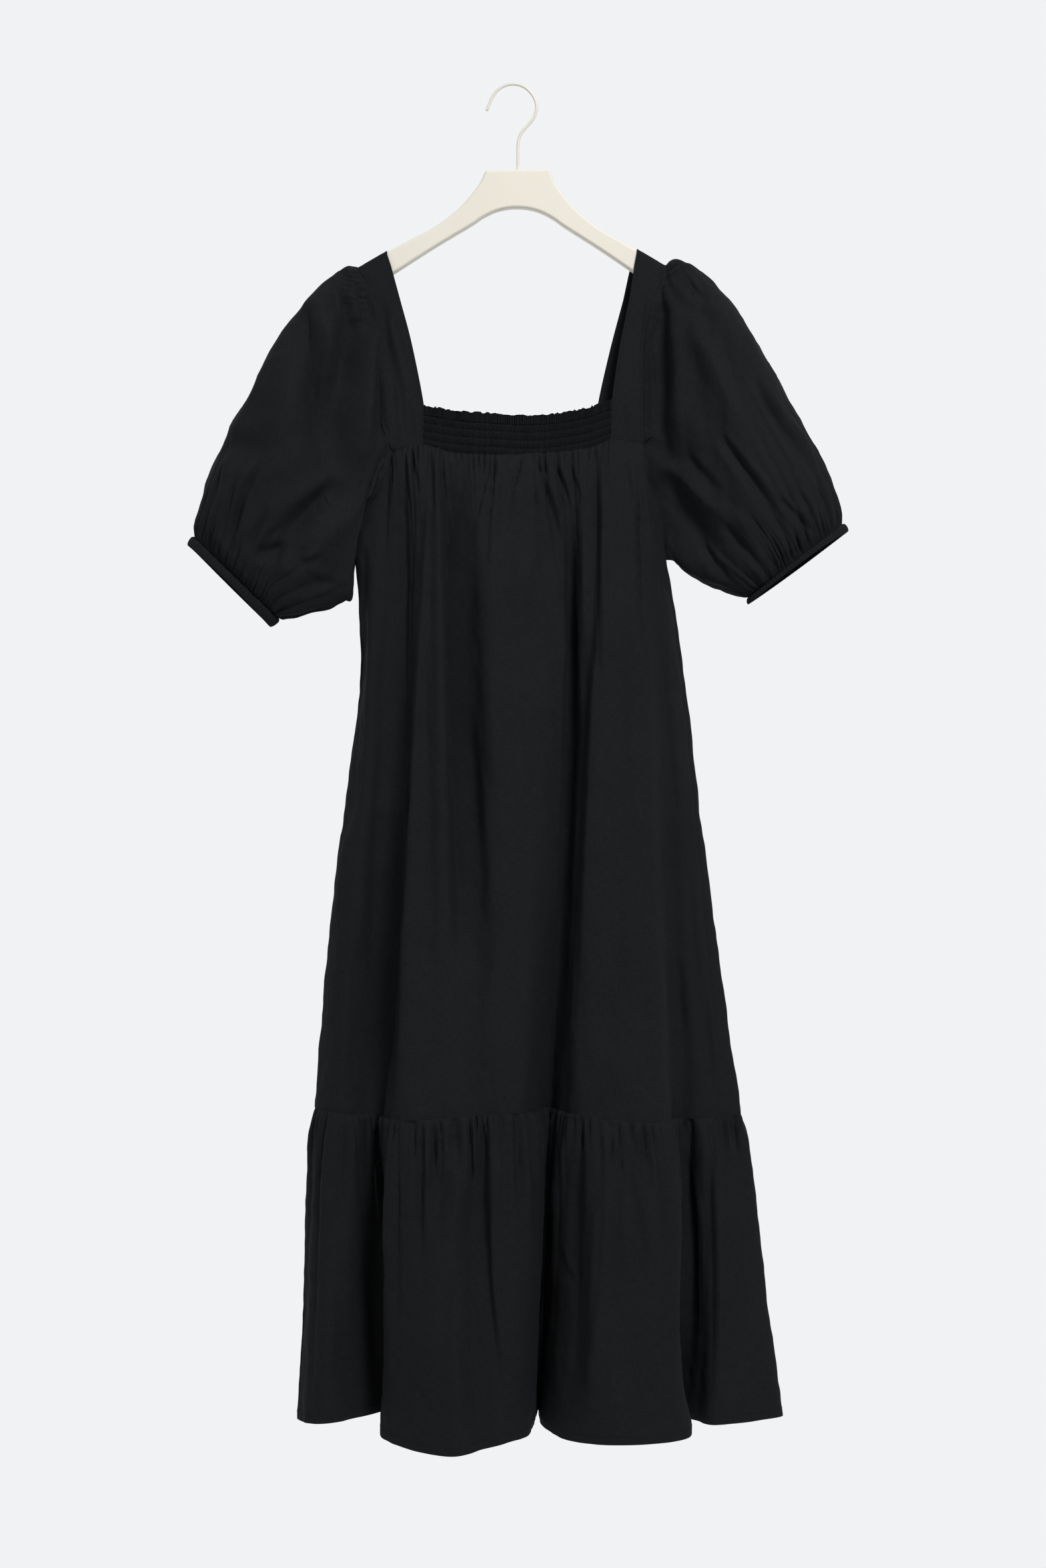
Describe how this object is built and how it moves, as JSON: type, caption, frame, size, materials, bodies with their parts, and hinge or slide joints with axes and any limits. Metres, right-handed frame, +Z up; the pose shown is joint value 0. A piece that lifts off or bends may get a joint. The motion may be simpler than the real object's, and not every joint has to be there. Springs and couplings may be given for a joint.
{
  "type": "puff sleeve midi dress on a hanger",
  "caption": "Square-necked midi dress with a smocked yoke, wide straps, puff sleeves and a gathered hem tier, hung on a flat shaped hanger with a wire hook.",
  "frame": {"origin": "the inside of the hook's top, where a peg or rail carries the hanger", "axes": "+Z up, +X to the right as the dress is seen from its front, +Y from the front towards the wall behind"},
  "size_m": [0.6733, 0.1538, 1.3799],
  "materials": {
    "cloth": "black woven cotton with a dry, matt face and a faint sheen on its folds",
    "hanger": "cream, satin, with rounded edges",
    "hook": "cream-coated round steel wire"
  },
  "bodies": {
    "root": {"front_skirt": "cloth", "back_skirt": "cloth", "flounce_front": "cloth", "flounce_back": "cloth", "front_smocking": "cloth", "back_band": "cloth", "strap_left": "cloth", "strap_right": "cloth", "sleeve_left": "cloth", "sleeve_right": "cloth", "cuff_left": "cloth", "cuff_right": "cloth", "hanger_body": "hanger", "hanger_hook": "hook"}
  },
  "joints": []
}
